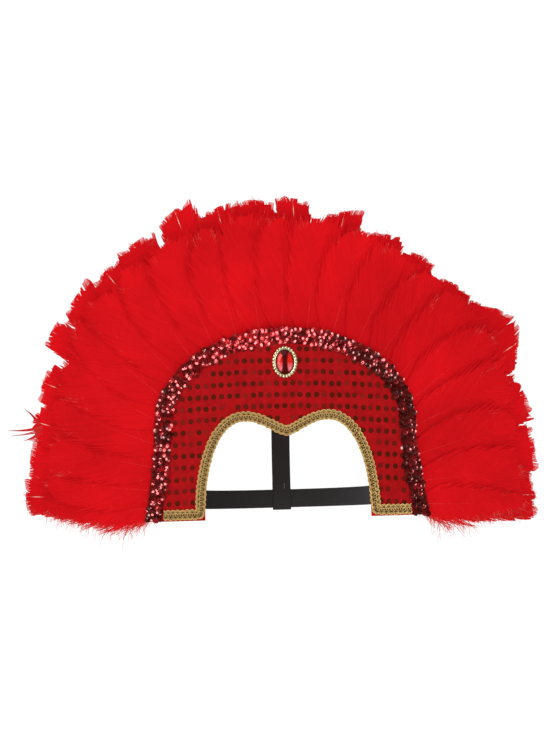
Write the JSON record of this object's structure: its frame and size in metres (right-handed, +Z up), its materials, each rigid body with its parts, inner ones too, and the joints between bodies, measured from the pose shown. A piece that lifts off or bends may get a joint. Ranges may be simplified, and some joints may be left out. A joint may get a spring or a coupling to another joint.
{
  "type": "carnival feather headdress",
  "caption": "Sequinned front panel with a widow's peak, a jewel, gold braid, a wide fan of red feathers and elastic head straps.",
  "frame": {"origin": "back face of the front panel on its centre line, at the tip of the peak between the two arches, where the headdress rests on the forehead", "axes": "+X to the right seen from the front, +Y backwards through the head, +Z up; the front faces -Y"},
  "size_m": [0.5521, 0.1865, 0.3545],
  "materials": {
    "sequin_fabric": "red knitted fabric over a stiff core, with rows of flat round sequins",
    "sequin_trim": "overlapping red metallic cup sequins",
    "gold_braid": "gimp braid of metallic gold thread",
    "gold_setting": "bright plated cast beads",
    "red_stone": "clear red faceted acrylic with a foil back",
    "black_elastic": "woven black elastic",
    "red_feather": "dyed red feathers, matt and soft"
  },
  "bodies": {
    "root": {"front_panel": "sequin_fabric", "sequin_trim": "sequin_trim", "gold_braid": "gold_braid", "gold_setting": "gold_setting", "red_stone": "red_stone", "head_band": "black_elastic", "crown_strap": "black_elastic", "front_feather_01": "red_feather", "front_feather_02": "red_feather", "front_feather_03": "red_feather", "front_feather_04": "red_feather", "front_feather_05": "red_feather", "front_feather_06": "red_feather", "front_feather_07": "red_feather", "front_feather_08": "red_feather", "front_feather_09": "red_feather", "front_feather_10": "red_feather", "front_feather_11": "red_feather", "front_feather_12": "red_feather", "front_feather_13": "red_feather", "front_feather_14": "red_feather", "front_feather_15": "red_feather", "front_feather_16": "red_feather", "front_feather_17": "red_feather", "front_feather_18": "red_feather", "front_feather_19": "red_feather", "front_feather_20": "red_feather", "front_feather_21": "red_feather", "front_feather_22": "red_feather", "back_feather_01": "red_feather", "back_feather_02": "red_feather", "back_feather_03": "red_feather", "back_feather_04": "red_feather", "back_feather_05": "red_feather", "back_feather_06": "red_feather", "back_feather_07": "red_feather", "back_feather_08": "red_feather", "back_feather_09": "red_feather", "back_feather_10": "red_feather", "back_feather_11": "red_feather", "back_feather_12": "red_feather", "back_feather_13": "red_feather", "back_feather_14": "red_feather", "back_feather_15": "red_feather", "back_feather_16": "red_feather", "back_feather_17": "red_feather", "back_feather_18": "red_feather", "back_feather_19": "red_feather", "back_feather_20": "red_feather", "back_feather_21": "red_feather"}
  },
  "joints": []
}
